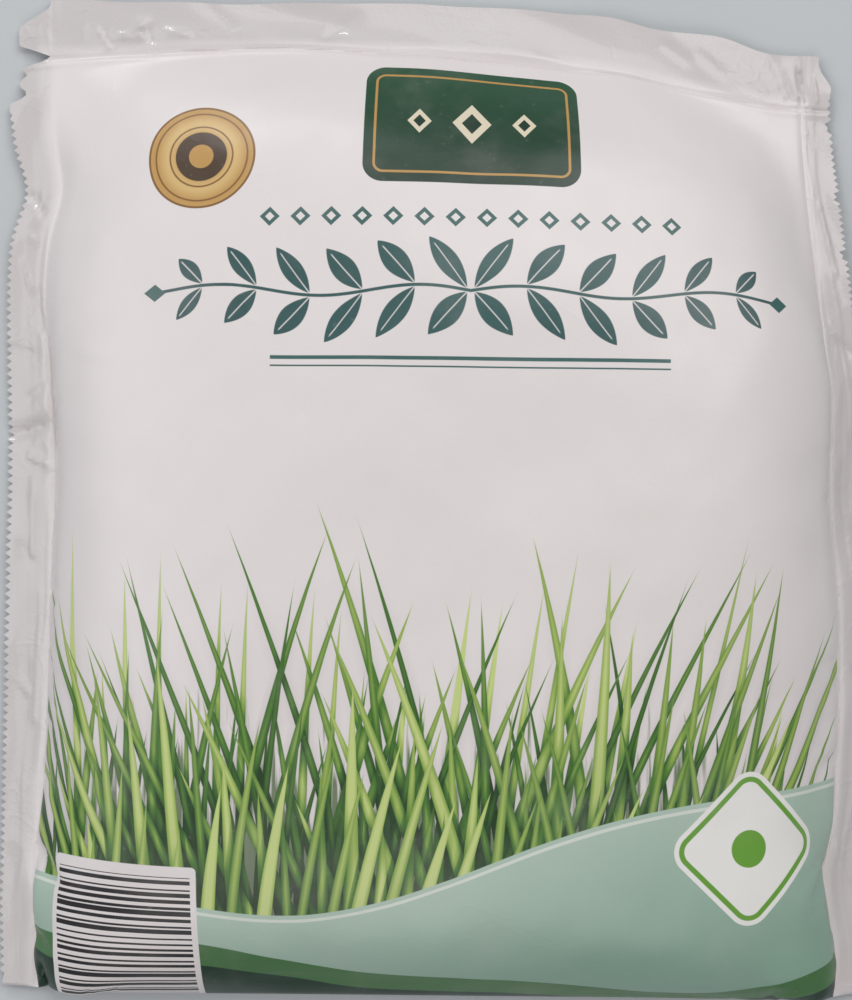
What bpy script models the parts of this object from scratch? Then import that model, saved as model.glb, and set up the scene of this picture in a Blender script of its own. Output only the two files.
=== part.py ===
"""A filled film bag of frozen chopped chives, lying on its back.

The bag is one web of film: folded along the bottom edge and welded to itself along both sides
and along the top. The side seals have zig-zag cut edges. The front faces up (+Z) and the top
seal points along +Y. All lengths are in metres.
"""
import math
import random

import bmesh
import bpy
import numpy as np
from mathutils import Matrix, Vector

# --- driving dimensions -------------------------------------------------------------------------
BAG_WIDTH = 0.162          # across the cut edges of the two side seals
BAG_LENGTH = 0.183         # bottom fold to the cut edge of the top seal
BAG_HEIGHT = 0.0243        # filled thickness at the middle
SIDE_SEAL = 0.0080         # width of each side seal
TOP_SEAL = 0.0108          # width of the top seal strip
FILM = 0.0004              # wall thickness
WELD_GAP = 0.0003          # between the two plies where they are welded
RIM_RISE = 0.0032          # how high the seal lines stand above the table
UNDERSIDE_LIFT = 0.0075    # how far in from the seals the underside reaches the table

TOOTH_PITCH = 0.0015       # zig-zag cut of the side seals
TOOTH_DEPTH = 0.0008

# how far the filling draws the film in: pairs of a height on the bag and a shift, both in mm
LEFT_SEAL_SHIFT = ((-91, -1.0), (-74, -1.6), (-45, 0.6), (4, 1.9), (36, -0.6), (47, 0.2),
                   (56, 3.0), (64, 0.4), (75, 0.0), (91, 0.0))
LEFT_EDGE_SHIFT = ((-91, 0.5), (-74, 0.0), (-45, 0.3), (4, 0.4), (36, 0.0), (47, 0.4),
                   (56, 4.2), (64, 0.8), (75, 0.0), (91, 0.0))
RIGHT_SEAL_SHIFT = ((-91, 0.0), (-83, -0.4), (-69, 2.3), (-55, 0.4), (-40, 0.0), (-20, 0.0),
                    (0, 2.0), (18, 1.6), (39, 4.3), (60, 6.3), (73, 7.2), (91, 7.5))
RIGHT_EDGE_SHIFT = ((-91, 1.0), (-83, 0.5), (-69, 3.5), (-55, 1.0), (-40, 0.0), (-20, 0.0),
                    (0, 2.5), (18, 2.5), (45, 6.5), (64, 8.5), (79, 10.0), (91, 10.5))
# how far the top seal drops: pairs of a place across the bag and a drop, both in mm
TOP_DROP = ((-81, 0.0), (5, 0.0), (19, 0.6), (30, 2.0), (40, 4.4), (50, 5.6), (60, 7.0),
            (68, 8.2), (81, 8.6))
LEFT_CORNER = 0.0060       # film worn off the top of the left cut edge
RIGHT_CORNER = 0.0060      # and of the right one
TEAR_DEPTH = 0.0060        # a torn notch in the left cut edge, just under the top seal
TEAR_MIDDLE = 0.0812
TEAR_HALF = 0.0024
LEAST_SEAL = 0.0012        # of a side seal that is always left
PUCKER = 0.0008            # height of the puckers at the cut edges
EDGE_REST = 0.0009         # mean height of the cut edges above the table

PANEL_COLUMNS = 12
PANEL_ROWS = 32
STRIP_ROWS = 2

SLAB_DEPTH = 0.0042        # top of the frozen slab below the film's inner face
SLAB_RISE = 0.0024         # underside of the slab above the film's inner face
SLAB_INSET = 0.0075        # sides of the slab in from the side seal lines and the fold
SLAB_TOP_INSET = 0.0140    # top of the slab down from the top seal line
RING_CLEARANCE = 0.0007    # between a cut ring and the film's inner face
TOP_SPACING = 0.0091       # of the cut rings that stand out of the slab's top
UNDER_SPACING = 0.0190     # out of its underside
RIM_SPACING = 0.0105       # and out of its sides
RING_RADIUS = (0.0018, 0.0024)
RING_LENGTH = (0.0048, 0.0080)
RING_SIDES = 6
OPEN_SHARE = 5             # one ring in so many shows its hollow

PLIES = 2 * FILM + WELD_GAP
FILLED = BAG_HEIGHT - PLIES
HALF_WIDTH = BAG_WIDTH / 2
HALF_LENGTH = BAG_LENGTH / 2
SEAL_X = HALF_WIDTH - SIDE_SEAL            # the side seal lines
SEAL_Y = HALF_LENGTH - TOP_SEAL            # the top seal line
PANEL_MIDDLE = (SEAL_Y - HALF_LENGTH) / 2
PANEL_HALF = (SEAL_Y + HALF_LENGTH) / 2
SLAB_MIDDLE = PANEL_MIDDLE + (SLAB_INSET - SLAB_TOP_INSET) / 2
SLAB_HALF = PANEL_HALF - (SLAB_INSET + SLAB_TOP_INSET) / 2


# --- the shape of the filled film ---------------------------------------------------------------
def ease(value):
    """Smooth step from 0 to 1."""
    value = min(max(value, 0.0), 1.0)
    return value * value * (3 - 2 * value)


def from_table(table, place):
    """A value in metres between the pairs of a table in millimetres."""
    return float(np.interp(place * 1000, *zip(*table))) / 1000


def outline(s, r):
    """Where the flat film's point (s, r) goes in plan, once the filling has drawn it in."""
    seal_table = RIGHT_SEAL_SHIFT if s > 0 else LEFT_SEAL_SHIFT
    edge_table = RIGHT_EDGE_SHIFT if s > 0 else LEFT_EDGE_SHIFT
    seal_shift = from_table(seal_table, r)
    shift = seal_shift * ease((abs(s) - 0.030) / (SEAL_X - 0.030))
    if abs(s) > SEAL_X:
        shift += (from_table(edge_table, r) - seal_shift) * (abs(s) - SEAL_X) / SIDE_SEAL
    drop = from_table(TOP_DROP, s) * ease((r - 0.030) / 0.052)
    return s - math.copysign(shift, s), r - drop


def seal_width(side, r):
    """What is left of a side seal: less at the worn top corner, and at the torn notch."""
    worn = (LEFT_CORNER if side < 0 else RIGHT_CORNER) * ease((r - 0.0845) / 0.007)
    tear = TEAR_DEPTH * max(0.0, 1 - abs(r - TEAR_MIDDLE) / TEAR_HALF) if side < 0 else 0.0
    return max(SIDE_SEAL - worn - tear, LEAST_SEAL)


def panel_place(s, r):
    """The point as fractions of the panel: 0 in the middle, 1 on a seal line or the fold."""
    across = min(abs(s) / SEAL_X, 1.0)
    along = min(max((r - PANEL_MIDDLE) / PANEL_HALF, -1.0), 1.0)
    return across, along


def rim_height(s, r):
    """Height of the seal lines: lifted by the filling, and down at the four corners."""
    across, along = panel_place(s, r)
    return RIM_RISE * (1 - (across * abs(along)) ** 4)


def swell(s, r):
    """How far the filling lifts the front panel, from 0 at its rim to 1 in the middle."""
    across, along = panel_place(s, r)
    side = (1 - across ** 2.45) ** 0.7
    if along < 0:
        return side * (1 - abs(along) ** 3.15) ** 0.62
    return side * (1 - along ** 2.4)


def front_height(s, r):
    """The front panel, without the thickness of the film."""
    rim = rim_height(s, r)
    return rim + (FILLED - rim) * swell(s, r)


def back_height(s, r):
    """The back panel: flat on the table, and lifted to the seal lines along its rim."""
    inside = min(SEAL_X - abs(s), SEAL_Y - r, r + HALF_LENGTH)
    lift = max(0.0, 1 - inside / UNDERSIDE_LIFT)
    return rim_height(s, r) * lift ** 2


def seal_height(s, r):
    """The welded bands: they slope down from the seal lines to the puckered cut edges."""
    across = (abs(s) - SEAL_X) / SIDE_SEAL
    along = (r - SEAL_Y) / TOP_SEAL
    out = min(max(across, along, 0.0), 1.0)
    side_waves = math.sin(r * 370 + 1.3 * (s > 0)) + 0.6 * math.sin(r * 610 + 2.0)
    top_waves = math.sin(s * 240 + 150 * (r - SEAL_Y)) + 0.6 * math.sin(s * 410 + 0.7)
    waves = side_waves if across > along else top_waves
    return rim_height(s, r) * (1 - out) ** 1.4 + out * (EDGE_REST + PUCKER * waves / 1.6)


def film_heights(s, r):
    """Outer faces of the back and front plies at a point of the flat film."""
    in_seal = abs(s) >= SEAL_X - 1e-9 or r >= SEAL_Y - 1e-9
    if in_seal:
        low = seal_height(s, r)
        return low, low + PLIES
    return back_height(s, r), front_height(s, r) + PLIES


def wall(s, r, front):
    """Vertical thickness of the film, so that it stays even square to the slope."""
    step = 0.0004
    side = 1 if front else 0
    if abs(s) >= SEAL_X - step or r >= SEAL_Y - step or r <= -HALF_LENGTH + step:
        return FILM
    slope_x = (film_heights(s + step, r)[side] - film_heights(s - step, r)[side]) / (2 * step)
    slope_y = (film_heights(s, r + step)[side] - film_heights(s, r - step)[side]) / (2 * step)
    return FILM * min(math.sqrt(1 + slope_x ** 2 + slope_y ** 2), 2.5)


# --- the film bag -------------------------------------------------------------------------------
def crowded(count):
    """Fractions from 0 to 1 that lie closer together near both ends."""
    steps = np.linspace(0, 1, count + 1)
    return steps - 0.72 * np.sin(2 * np.pi * steps) / (2 * np.pi)


def panel_columns():
    """Places across the panel, from one seal line to the other."""
    return [float(s) for s in -SEAL_X + 2 * SEAL_X * crowded(PANEL_COLUMNS)]


def film_rows():
    """Places along the film, from the fold to the cut top edge."""
    panel = -HALF_LENGTH + (SEAL_Y + HALF_LENGTH) * crowded(PANEL_ROWS)
    strip = SEAL_Y + TOP_SEAL * np.arange(1, STRIP_ROWS + 1) / STRIP_ROWS
    return [*panel, *strip]


class FilmFace:
    """One face of one ply, as a grid with a zig-zag line of points along each side."""

    def __init__(self, mesh, front, outer, fold):
        self.mesh = mesh
        self.front = front
        self.outer = outer
        self.fold = fold
        self.rows = film_rows()
        lines = [self.seal_line(-1), *([s] * len(self.rows) for s in panel_columns()),
                 self.seal_line(1)]
        self.grid = [[self.point(s, r) for s, r in zip(line, self.rows)] for line in lines]
        self.cuts = [self.cut_line(-1), self.cut_line(1)]

    def point(self, s, r):
        """A vertex of this face. The two plies share the vertices along the fold."""
        x, y = outline(s, r)
        low, high = film_heights(s, r)
        if r <= -HALF_LENGTH + 1e-9:
            key = (self.outer, round(s, 6))
            if key not in self.fold:
                inset = 0.0 if self.outer else FILM
                self.fold[key] = self.mesh.verts.new((x, y + inset, (low + high) / 2))
            return self.fold[key]
        height = high if self.front else low
        if not self.outer:
            thickness = wall(s, r, self.front)
            height += -thickness if self.front else thickness
        return self.mesh.verts.new((x, y, height))

    def seal_line(self, side):
        """Places halfway out on a side seal, always short of the cut edge near them."""
        places = []
        for j in range(len(self.rows)):
            low, high = self.rows[max(j - 1, 0)], self.rows[min(j + 1, len(self.rows) - 1)]
            least = min(seal_width(side, r) for r in np.linspace(low, high, 25))
            places.append(side * (SEAL_X + least / 2))
        return places

    def cut_line(self, side):
        """The zig-zag cut edge, with a list of vertices for each row of the grid."""
        line = []
        for low, high in zip(self.rows, self.rows[1:]):
            teeth = max(1, round((high - low) / TOOTH_PITCH))
            places = np.linspace(low, high, 2 * teeth + 1)[:-1]
            line.append([self.cut_point(side, r, k % 2) for k, r in enumerate(places)])
        line.append([self.cut_point(side, self.rows[-1], 0)])
        return line

    def cut_point(self, side, r, hollow):
        """A point on the cut edge: the tip of a tooth, or the hollow between two."""
        width = seal_width(side, r)
        depth = hollow * min(TOOTH_DEPTH, width / 4)
        return self.point(side * (SEAL_X + width - depth), r)

    def skin(self):
        """Faces over the grid, and fans out to the cut edges."""
        flip = self.front != self.outer
        for left, right in zip(self.grid, self.grid[1:]):
            for j in range(len(self.rows) - 1):
                add_face(self.mesh, (left[j], right[j], right[j + 1], left[j + 1]), flip)
        for side in (0, 1):
            inner = self.grid[-side]
            for j in range(len(self.rows) - 1):
                cut = self.cuts[side][j] + self.cuts[side][j + 1][:1]
                self.fan(inner[j], inner[j + 1], cut, flip != (side == 0))

    def fan(self, near, far, cut, flip):
        """Triangles from two neighbouring grid points to the cut edge between them."""
        half = len(cut) // 2
        for k in range(len(cut) - 1):
            add_face(self.mesh, (near if k < half else far, cut[k], cut[k + 1]), flip)
        add_face(self.mesh, (near, cut[half], far), flip)


def add_face(mesh, corners, flip):
    """A face as triangles, the other way round if flip is set."""
    if flip:
        corners = corners[::-1]
    for k in range(1, len(corners) - 1):
        mesh.faces.new((corners[0], corners[k], corners[k + 1]))


def close_edges(mesh, outside, inside):
    """The film's cut edges, between its outer and inner faces."""
    flip = not outside.front
    for side in (0, 1):
        outer_line = [v for row in outside.cuts[side] for v in row]
        inner_line = [v for row in inside.cuts[side] for v in row]
        for k in range(len(outer_line) - 1):
            strip = (outer_line[k], inner_line[k], inner_line[k + 1], outer_line[k + 1])
            add_face(mesh, strip, flip != (side == 1))
    outer_top = [outside.cuts[0][-1][0], *(c[-1] for c in outside.grid), outside.cuts[1][-1][0]]
    inner_top = [inside.cuts[0][-1][0], *(c[-1] for c in inside.grid), inside.cuts[1][-1][0]]
    for k in range(len(outer_top) - 1):
        strip = (outer_top[k], inner_top[k], inner_top[k + 1], outer_top[k + 1])
        add_face(mesh, strip, flip)


def make_film_bag():
    """The folded web: two plies, each with an outer and an inner face, joined at the fold."""
    mesh = bmesh.new()
    fold = {}
    for front in (True, False):
        outside = FilmFace(mesh, front, True, fold)
        inside = FilmFace(mesh, front, False, fold)
        outside.skin()
        inside.skin()
        close_edges(mesh, outside, inside)
    bmesh.ops.recalc_face_normals(mesh, faces=mesh.faces)
    film = new_object("film_bag", mesh)
    film.data.materials.append(plain_material("film", (0.80, 0.78, 0.77), 0.33))
    return film


# --- the chopped chives -------------------------------------------------------------------------
def chive_ceiling(s, r):
    """Inner face of the front film above the filling."""
    return front_height(s, r) + PLIES - wall(s, r, True)


def chive_floor(s, r):
    """Inner face of the back film below the filling."""
    return back_height(s, r) + wall(s, r, False)


def slab_point(across, along):
    """A place on the slab: the fractions across and along that it reaches."""
    return across * (SEAL_X - SLAB_INSET), SLAB_MIDDLE + along * SLAB_HALF


def make_slab():
    """The frozen slab that the cut rings stand out of: a pillow that follows the film."""
    count_x, count_y = 12, 14
    mesh = bmesh.new()
    tops, floors = [], []
    for a in np.linspace(-1, 1, count_x + 1):
        top_line, floor_line = [], []
        for b in np.linspace(-1, 1, count_y + 1):
            s, r = slab_point(a, b)
            x, y = outline(s, r)
            low = chive_floor(s, r) + SLAB_RISE
            high = max(chive_ceiling(s, r) - SLAB_DEPTH, low + 0.002)
            top_line.append(mesh.verts.new((x, y, high)))
            floor_line.append(mesh.verts.new((x, y, low)))
        tops.append(top_line)
        floors.append(floor_line)
    for layer, flip in ((tops, False), (floors, True)):
        for i in range(count_x):
            for j in range(count_y):
                corners = (layer[i][j], layer[i + 1][j], layer[i + 1][j + 1], layer[i][j + 1])
                add_face(mesh, corners, flip)
    for i in range(count_x):
        for j, flip in ((0, False), (count_y, True)):
            add_face(mesh, (floors[i][j], floors[i + 1][j], tops[i + 1][j], tops[i][j]), flip)
    for j in range(count_y):
        for i, flip in ((0, True), (count_x, False)):
            add_face(mesh, (floors[i][j], floors[i][j + 1], tops[i][j + 1], tops[i][j]), flip)
    bmesh.ops.recalc_face_normals(mesh, faces=mesh.faces)
    return new_object("chopped_chives", mesh)


def make_ring(name, radius, length, open_end, place):
    """One cut piece of chive: a short stalk, with its hollow showing at one end if it is open."""
    mesh = bmesh.new()
    bmesh.ops.create_cone(mesh, cap_ends=True, segments=RING_SIDES, radius1=radius,
                          radius2=radius, depth=length)
    if open_end:
        end = max(mesh.faces, key=lambda face: face.calc_center_median().z)
        bmesh.ops.inset_region(mesh, faces=[end], thickness=radius * 0.38)
        for corner in end.verts:
            corner.co.z -= length * 0.35
    mesh.transform(place)
    return new_object(name, mesh)


def ring_size(draw):
    """Radius and length of one cut ring."""
    return draw.uniform(*RING_RADIUS), draw.uniform(*RING_LENGTH)


def ring_places(draw, spacing):
    """Where the cut rings lie: a jittered lattice over the slab."""
    rows = int(2 * SLAB_HALF / spacing)
    columns = int(2 * (SEAL_X - SLAB_INSET) / spacing)
    for i in range(columns + 1):
        for j in range(rows + 1):
            across = -1 + 2 * (i + 0.5 * (j % 2) + draw.uniform(-0.3, 0.3)) / columns
            along = -1 + 2 * (j + draw.uniform(-0.3, 0.3)) / rows
            if max(abs(across), abs(along)) < 0.98:
                yield slab_point(across, along)


def rim_places(draw):
    """Places round the sides of the slab, with the direction of the side there."""
    for turned, half in ((False, SEAL_X - SLAB_INSET), (True, SLAB_HALF)):
        count = int(2 * half / RIM_SPACING)
        for side in (-1, 1):
            for k in range(count):
                place = -1 + (2 * k + 1 + draw.uniform(-0.4, 0.4)) / count
                if turned:
                    yield slab_point(side, place), math.pi / 2
                else:
                    yield slab_point(place, side), 0.0


def ring_room(s, r, reach_up, reach_out):
    """Lowest and highest place for the middle of a ring, clear of the film all round it."""
    near = [(s + dx * reach_out, r + dy * reach_out) for dx in (-1, 0, 1) for dy in (-1, 0, 1)]
    low = max(chive_floor(*point) for point in near) + RING_CLEARANCE + reach_up
    high = min(chive_ceiling(*point) for point in near) - RING_CLEARANCE - reach_up
    return low, high


def ring_turn(s, r, radius, length, turned, lean):
    """How a ring is turned, and its room: turned about the vertical, and leaned over."""
    turn = Matrix.Rotation(turned, 4, "Z") @ Matrix.Rotation(lean, 4, "Y")
    reach_up = radius * abs(math.sin(lean)) + length / 2 * abs(math.cos(lean))
    reach_out = radius * abs(math.cos(lean)) + length / 2 * abs(math.sin(lean))
    return turn, *ring_room(s, r, reach_up, reach_out)


def place_rim_ring(s, r, along_side, radius, length, draw):
    """Turn a ring to lie along the side of the slab, halfway up between the film's plies."""
    lean = math.radians(draw.choice((90, 75, 105)))
    turn, low, high = ring_turn(s, r, radius, length, along_side, lean)
    if low > high:
        return None
    return Matrix.Translation(Vector((*outline(s, r), (low + high) / 2))) @ turn


def place_ring(s, r, radius, length, on_top, draw):
    """Turn a ring to lie or lean on the slab, just clear of the film."""
    lean = math.radians(draw.choice((90, 84, 76, 62, 35)))
    turn, low, high = ring_turn(s, r, radius, length, draw.uniform(0, 2 * math.pi), lean)
    if low > high:
        return None
    return Matrix.Translation(Vector((*outline(s, r), high if on_top else low))) @ turn


def make_chopped_chives():
    """The slab with its cut rings, fused into one body."""
    slab = make_slab()
    draw = random.Random(11)
    rings = bpy.data.collections.new("cut_rings")
    bpy.context.scene.collection.children.link(rings)
    lying = []
    for spacing, on_top in ((TOP_SPACING, True), (UNDER_SPACING, False)):
        for s, r in ring_places(draw, spacing):
            radius, length = ring_size(draw)
            lying.append((radius, length, place_ring(s, r, radius, length, on_top, draw)))
    for (s, r), along_side in rim_places(draw):
        radius, length = ring_size(draw)
        place = place_rim_ring(s, r, along_side, radius, length, draw)
        lying.append((radius, length, place))
    lying = [ring for ring in lying if ring[2] is not None]
    for count, (radius, length, place) in enumerate(lying):
        ring = make_ring(f"cut_ring_{count}", radius, length, count % OPEN_SHARE == 0, place)
        bpy.context.scene.collection.objects.unlink(ring)
        rings.objects.link(ring)
    union = slab.modifiers.new("fuse", "BOOLEAN")
    union.operation = "UNION"
    union.operand_type = "COLLECTION"
    union.collection = rings
    union.solver = "EXACT"
    apply_modifiers(slab)
    for ring in list(rings.objects):
        bpy.data.objects.remove(ring, do_unlink=True)
    bpy.data.collections.remove(rings)
    slab.data.materials.clear()
    slab.data.materials.append(plain_material("herb", (0.16, 0.32, 0.07), 0.6))
    return slab


# --- shared steps -------------------------------------------------------------------------------
def new_object(name, mesh):
    """An object from a bmesh, in the scene."""
    data = bpy.data.meshes.new(name)
    mesh.to_mesh(data)
    mesh.free()
    item = bpy.data.objects.new(name, data)
    bpy.context.scene.collection.objects.link(item)
    return item


def apply_modifiers(item):
    """Keep the evaluated mesh in place of the modifiers."""
    bpy.context.view_layer.update()
    evaluated = item.evaluated_get(bpy.context.evaluated_depsgraph_get())
    data = bpy.data.meshes.new_from_object(evaluated)
    item.modifiers.clear()
    item.data = data


def plain_material(name, colour, roughness):
    """A Principled material of one colour."""
    material = bpy.data.materials.new(name)
    material.use_nodes = True
    shader = material.node_tree.nodes["Principled BSDF"]
    shader.inputs["Base Color"].default_value = (*colour, 1.0)
    shader.inputs["Roughness"].default_value = roughness
    shader.inputs["Metallic"].default_value = 0.0
    return material


def clear_scene():
    """Start from an empty scene."""
    for item in list(bpy.data.objects):
        bpy.data.objects.remove(item, do_unlink=True)


def main():
    clear_scene()
    for item in (make_film_bag(), make_chopped_chives()):
        item.data.shade_smooth()
        item.data.set_sharp_from_angle(angle=math.radians(40))


main()
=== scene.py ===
"""The looks of a filled film bag of frozen chopped chives, lying on its back.

The film is cut flat, filled and laid down by a small cloth solver, and its surface is then built
as one closed skin. Its print is a generic design of plaque, garland, grass and hills, drawn in
the film's own flat coordinates. The frame is in metres; the film's flat coordinates, the solver
and the print are in millimetres.
"""
import math

import bmesh
import bpy
import numpy as np
from mathutils import Matrix, Vector


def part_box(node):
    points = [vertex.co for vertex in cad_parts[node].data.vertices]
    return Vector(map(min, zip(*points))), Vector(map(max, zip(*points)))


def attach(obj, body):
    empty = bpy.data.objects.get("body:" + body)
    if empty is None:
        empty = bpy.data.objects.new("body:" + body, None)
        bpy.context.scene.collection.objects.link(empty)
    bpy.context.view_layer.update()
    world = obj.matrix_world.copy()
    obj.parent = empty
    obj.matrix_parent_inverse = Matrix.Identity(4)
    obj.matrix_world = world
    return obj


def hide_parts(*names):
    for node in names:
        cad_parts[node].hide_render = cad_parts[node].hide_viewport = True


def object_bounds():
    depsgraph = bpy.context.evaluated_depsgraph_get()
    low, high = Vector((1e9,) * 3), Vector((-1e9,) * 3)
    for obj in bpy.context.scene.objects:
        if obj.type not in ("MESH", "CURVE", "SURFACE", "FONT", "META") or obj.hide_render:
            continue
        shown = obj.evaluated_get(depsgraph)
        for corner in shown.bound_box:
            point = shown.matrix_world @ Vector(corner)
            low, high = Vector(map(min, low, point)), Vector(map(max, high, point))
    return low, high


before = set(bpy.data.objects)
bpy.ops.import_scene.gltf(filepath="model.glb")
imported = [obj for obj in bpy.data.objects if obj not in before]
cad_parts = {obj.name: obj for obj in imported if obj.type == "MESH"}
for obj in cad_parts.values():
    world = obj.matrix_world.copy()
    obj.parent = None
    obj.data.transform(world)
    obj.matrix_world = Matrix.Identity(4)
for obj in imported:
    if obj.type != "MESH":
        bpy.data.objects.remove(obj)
cad_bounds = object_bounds()

MM = 0.001

# --- the bag, in millimetres --------------------------------------------------------------------
bag_low, bag_high = (np.array(corner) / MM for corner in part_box("film_bag"))
WIDTH, LENGTH, HEIGHT = bag_high - bag_low
HALF_WIDTH = WIDTH / 2
HALF_LENGTH = LENGTH / 2
SIDE_SEAL = 8.0             # width of a side seal
TOP_SEAL = 10.8             # width of the top seal strip
SEAL_X = HALF_WIDTH - SIDE_SEAL
SEAL_Y = HALF_LENGTH - TOP_SEAL
PLY = 0.15                  # from the middle of the film to each face of the skin

TOOTH_PITCH = 1.5           # zig-zag cut of the side seals
TOOTH_DEPTH = 0.8
GRASS_TOP = 6.0             # nothing of the printed grass grows above this height

# the same film before it is filled
FLAT_WIDTH = WIDTH + 13
FLAT_LENGTH = LENGTH + 7
FLAT_SIDE = 10.0
FLAT_TOP = 11.5
FLAT_SEAL_X = FLAT_WIDTH / 2 - FLAT_SIDE
FILLING = 420e3             # cubic millimetres

# smoothing of the crumples that filling leaves: turns, and how far each turn moves the film
CALM_TURNS = 90
SEAL_CALM = 0.30            # in the seals
CREASE_CALM = 0.50          # under the crease of the top seal

# how far the filling draws the film in: pairs of a height on the bag and a shift
LEFT_SEAL_SHIFT = ((-91, -1.0), (-74, -1.6), (-45, 0.6), (4, 1.9), (36, -0.6), (47, 0.2),
                   (56, 3.0), (64, 0.4), (75, 0.0), (91, 0.0))
LEFT_EDGE_SHIFT = ((-91, 0.5), (-74, 0.0), (-45, 0.3), (4, 0.4), (36, 0.0), (48, 0.4),
                   (56, 4.4), (63, 0.8), (75, 0.0), (91, 0.0))
RIGHT_SEAL_SHIFT = ((-91, 0.0), (-83, -0.6), (-69, 2.3), (-55, 0.4), (-40, 0.0), (-20, 0.0),
                    (0, 2.0), (18, 1.6), (39, 4.3), (60, 6.3), (73, 7.2), (91, 7.5))
RIGHT_EDGE_SHIFT = ((-91, 1.0), (-83, 0.5), (-69, 3.5), (-55, 1.0), (-40, 0.0), (-20, 0.0),
                    (0, 2.5), (18, 2.5), (45, 6.5), (64, 8.5), (79, 10.0), (91, 10.5))
# how far the top seal drops: pairs of a place across the bag and a drop
CREASE_DROP = ((-81, 0.6), (-72, 0.4), (-48, -1.1), (-20, -1.7), (-3, -1.1), (16, 0.6),
               (32, 2.2), (42, 4.5), (50, 6.0), (64, 7.6), (81, 8.2))
TOP_DROP = ((-81, 0.0), (5, 0.0), (19, 0.6), (30, 2.0), (38, 4.4), (46, 5.1), (57, 5.8),
            (63, 7.6), (68, 8.6), (81, 8.8))

# what is worn off the cut edges from a height upwards: where it starts, how soon it is all gone
# and how deep it goes; and the nicks: middle, half height, depth and how sharp
LEFT_WEAR = ((86.2, 5.0, 5.8), (72.4, 1.4, 2.1))
LEFT_NICKS = ((81.3, 2.0, 5.6, 0.8), (74.6, 1.3, 1.4, 1.0), (78.2, 1.4, 1.5, 1.0))
RIGHT_WEAR = ((84.5, 6.0, 3.6),)
RIGHT_NICKS = ((77.5, 1.3, 1.1, 1.0), (62.0, 1.8, 0.8, 1.0), (49.0, 1.5, 1.0, 1.0))
LEFT_TEETH_END = 68.0       # where the zig-zag starts to be worn off
RIGHT_TEETH_END = 80.0
LEAST_SEAL = 0.5            # of a side seal that is always left

# folds pressed into the film by handling: from one place to another, how deep (down) or proud
# (up), and how wide
HANDLED_FOLDS = (
    ((-79.6, 55.4), (-76.0, 51.2), -0.80, 0.9),     # below the tuck in the left cut edge
    ((-78.6, 47.5), (-75.8, 45.8), 0.40, 0.7),
    ((-78.6, 42.8), (-76.6, 37.0), 0.45, 0.6),
    ((-76.4, 36.6), (-74.4, 29.4), -0.45, 0.8),
    ((-81.0, 26.4), (-75.0, 25.0), -0.45, 0.9),
    ((-75.2, 37.0), (-73.4, 27.0), -0.45, 0.6),     # the seal line, sharp where the filling pulls
    ((-73.3, 28.0), (-73.0, 8.0), -0.60, 0.6),
    ((-73.8, 19.5), (-78.0, 17.0), -0.45, 0.9),
    ((-73.0, 12.8), (-81.0, 10.5), -1.25, 1.5),
    ((-78.0, 6.8), (-72.6, 4.2), 0.70, 0.6),
    ((-77.2, 3.5), (-77.0, -12.0), 0.30, 0.5),
    ((-79.6, -9.0), (-76.4, -13.5), -0.40, 0.8),
    ((-75.2, -18.0), (-75.6, -42.0), 0.30, 0.6),
    ((-80.0, -33.0), (-76.6, -37.0), 0.35, 0.7),
    ((-37.0, 38.0), (-31.5, 28.0), 0.16, 0.8),      # faint ones in the filled front
    ((-62.5, 24.5), (-56.0, 22.5), 0.16, 0.7),
    ((-43.5, 40.0), (-41.0, 35.0), -0.14, 0.6),
    ((-65.4, 86.4), (-62.2, 82.0), 0.90, 0.75),     # crisp pleats in the top strip
    ((-61.2, 85.0), (-57.6, 84.0), 0.75, 0.75),
    ((-56.0, 88.2), (-56.8, 83.4), 0.85, 0.75),
    ((-55.0, 86.4), (-53.2, 83.0), -0.70, 0.8),
    ((-51.8, 85.4), (-47.4, 84.2), 0.65, 0.8),
    ((-44.0, 90.2), (-38.5, 85.6), -0.40, 1.0),
    ((-16.0, 89.5), (-22.0, 83.0), -0.30, 1.2),
    ((41.0, 89.4), (47.5, 86.4), -0.42, 1.0),
    ((48.5, 88.6), (55.5, 85.0), -0.46, 1.1),
    ((60.0, 87.0), (65.0, 83.0), 0.30, 1.0),
    ((66.5, 90.6), (70.4, 81.6), -0.60, 0.7),       # bunched end of the top strip
    ((70.4, 89.6), (72.0, 82.4), 0.50, 0.8),
    ((73.0, 88.4), (74.4, 81.8), -0.75, 0.6),
    ((76.6, 86.8), (78.0, 82.0), 0.45, 0.7),
    ((76.0, 60.0), (78.5, 44.0), 0.36, 0.5),        # long ridges down the right seal
    ((77.5, 40.0), (78.0, 12.0), 0.34, 0.5),
    ((76.4, 30.0), (80.0, 27.0), -0.45, 0.8),
    ((76.0, -30.0), (80.5, -36.0), -0.40, 0.9),
    ((74.5, -62.0), (79.5, -70.0), 0.45, 0.8),
)

# layers of random waves in the relief: size, or size across and along, with a seed and a height
LUMPS = ((34, 32, 0.42), (13, 33, 0.16), (5, 34, 0.05))
FACETS = (((6, 15), 35, 1.0), ((3, 7), 36, 0.4))
FACET_RISE = 0.34
RIDGE_RISE = 0.34
GROOVE_DEPTH = 0.38
CREASE_DEPTH = 0.40
LIP_RISE = 0.20
SLANT_RISE = 0.30


def ease(value):
    """Smooth step from 0 to 1."""
    value = np.clip(value, 0, 1)
    return value * value * (3 - 2 * value)


def peak(value, centre, width):
    """A pointed hump that is 1 at the centre and 0 a width away."""
    return np.clip(1 - abs(value - centre) / width, 0, 1)


def add_object(name, data):
    """A new object in the scene."""
    item = bpy.data.objects.new(name, data)
    bpy.context.scene.collection.objects.link(item)
    return item


def from_table(table, place):
    """Values between the pairs of a table."""
    return np.interp(place, *zip(*table))


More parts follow.
